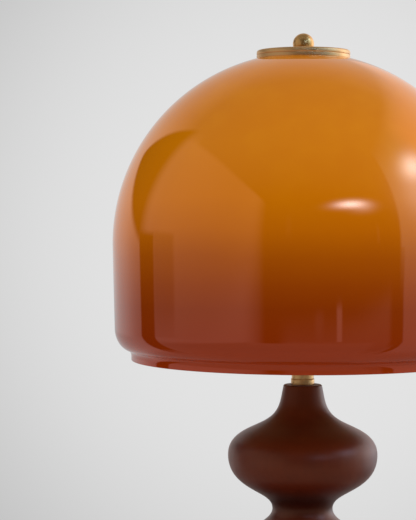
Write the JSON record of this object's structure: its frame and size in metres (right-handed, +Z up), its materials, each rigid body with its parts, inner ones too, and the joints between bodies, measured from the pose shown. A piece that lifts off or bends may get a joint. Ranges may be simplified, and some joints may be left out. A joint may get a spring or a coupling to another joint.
{
  "type": "table lamp",
  "caption": "Table lamp with a glass dome shade clamped by a brass cap and ball finial, on a turned dark wood base, with angled sockets on a central stem.",
  "frame": {"origin": "on the table under the middle of the base", "axes": "+Z up the stem; -Y is the front, where the switch knobs point; the cord inlet is at the back, +Y"},
  "size_m": [0.3604, 0.3604, 0.5561],
  "materials": {
    "wood": "satin lacquer over dark red-brown stained wood",
    "amber_glass": "gloss, amber shading to red-brown at the rim, cased so that it looks opaque",
    "brass": "satin, turned",
    "steel": "zinc-plated thread",
    "iron": "rough black casting",
    "felt": "dark green felt",
    "gasket": "matt",
    "black_rubber": "matt",
    "black_plastic": "moulded, satin",
    "fibre": "vulcanised fibre sleeve",
    "nickel": "nickel-plated, bright",
    "opal_glass": "frosted white"
  },
  "bodies": {
    "lamp": {"felt_pad": "felt", "wood_body": "wood", "cord_bush": "black_rubber", "ballast": "iron", "base_washer": "steel", "base_nut": "steel", "lamp_pipe": "steel", "pipe_bush": "black_plastic", "neck_ring": "brass", "stem_tube": "brass", "cluster_ball": "brass", "riser_rod": "brass", "jam_nut": "brass", "shade_plate": "brass", "lower_gasket": "gasket", "glass_shade": "amber_glass", "cap_gasket": "gasket", "top_cap": "brass", "finial_stud": "steel", "nipple_left": "steel", "socket_cap_left": "brass", "socket_shell_left": "brass", "socket_sleeve_left": "fibre", "socket_body_left": "black_plastic", "screw_shell_left": "nickel", "centre_contact_left": "brass", "bulb_base_left": "nickel", "bulb_globe_left": "opal_glass", "nipple_right": "steel", "socket_cap_right": "brass", "socket_shell_right": "brass", "socket_sleeve_right": "fibre", "socket_body_right": "black_plastic", "screw_shell_right": "nickel", "centre_contact_right": "brass", "bulb_base_right": "nickel", "bulb_globe_right": "opal_glass"},
    "finial_washer": {"finial_washer": "brass"},
    "finial_ball": {"finial_ball": "brass"},
    "switch_left": {"switch_knob_left": "black_plastic"},
    "switch_right": {"switch_knob_right": "black_plastic"}
  },
  "joints": [
    {"name": "finial_turn", "type": "hinge", "parent": "lamp", "child": "finial_washer", "pos_m": [0, 0, 0.54015], "axis": [0, 0, 1], "range_deg": [0, 3960]},
    {"name": "finial_rise", "type": "slide", "parent": "finial_washer", "child": "finial_ball", "axis": [0, 0, 1], "range_m": [0, 0.01036]},
    {"name": "switch_turn_left", "type": "hinge", "parent": "lamp", "child": "switch_left", "pos_m": [-0.04665, -0.0178, 0.33705], "axis": [0, -1, 0], "continuous": true},
    {"name": "switch_turn_right", "type": "hinge", "parent": "lamp", "child": "switch_right", "pos_m": [0.04665, -0.0178, 0.33705], "axis": [0, -1, 0], "continuous": true}
  ],
  "couplings": [
    {"joint": "finial_rise", "follows": "finial_turn", "m_per_rad": 0.00014972}
  ]
}
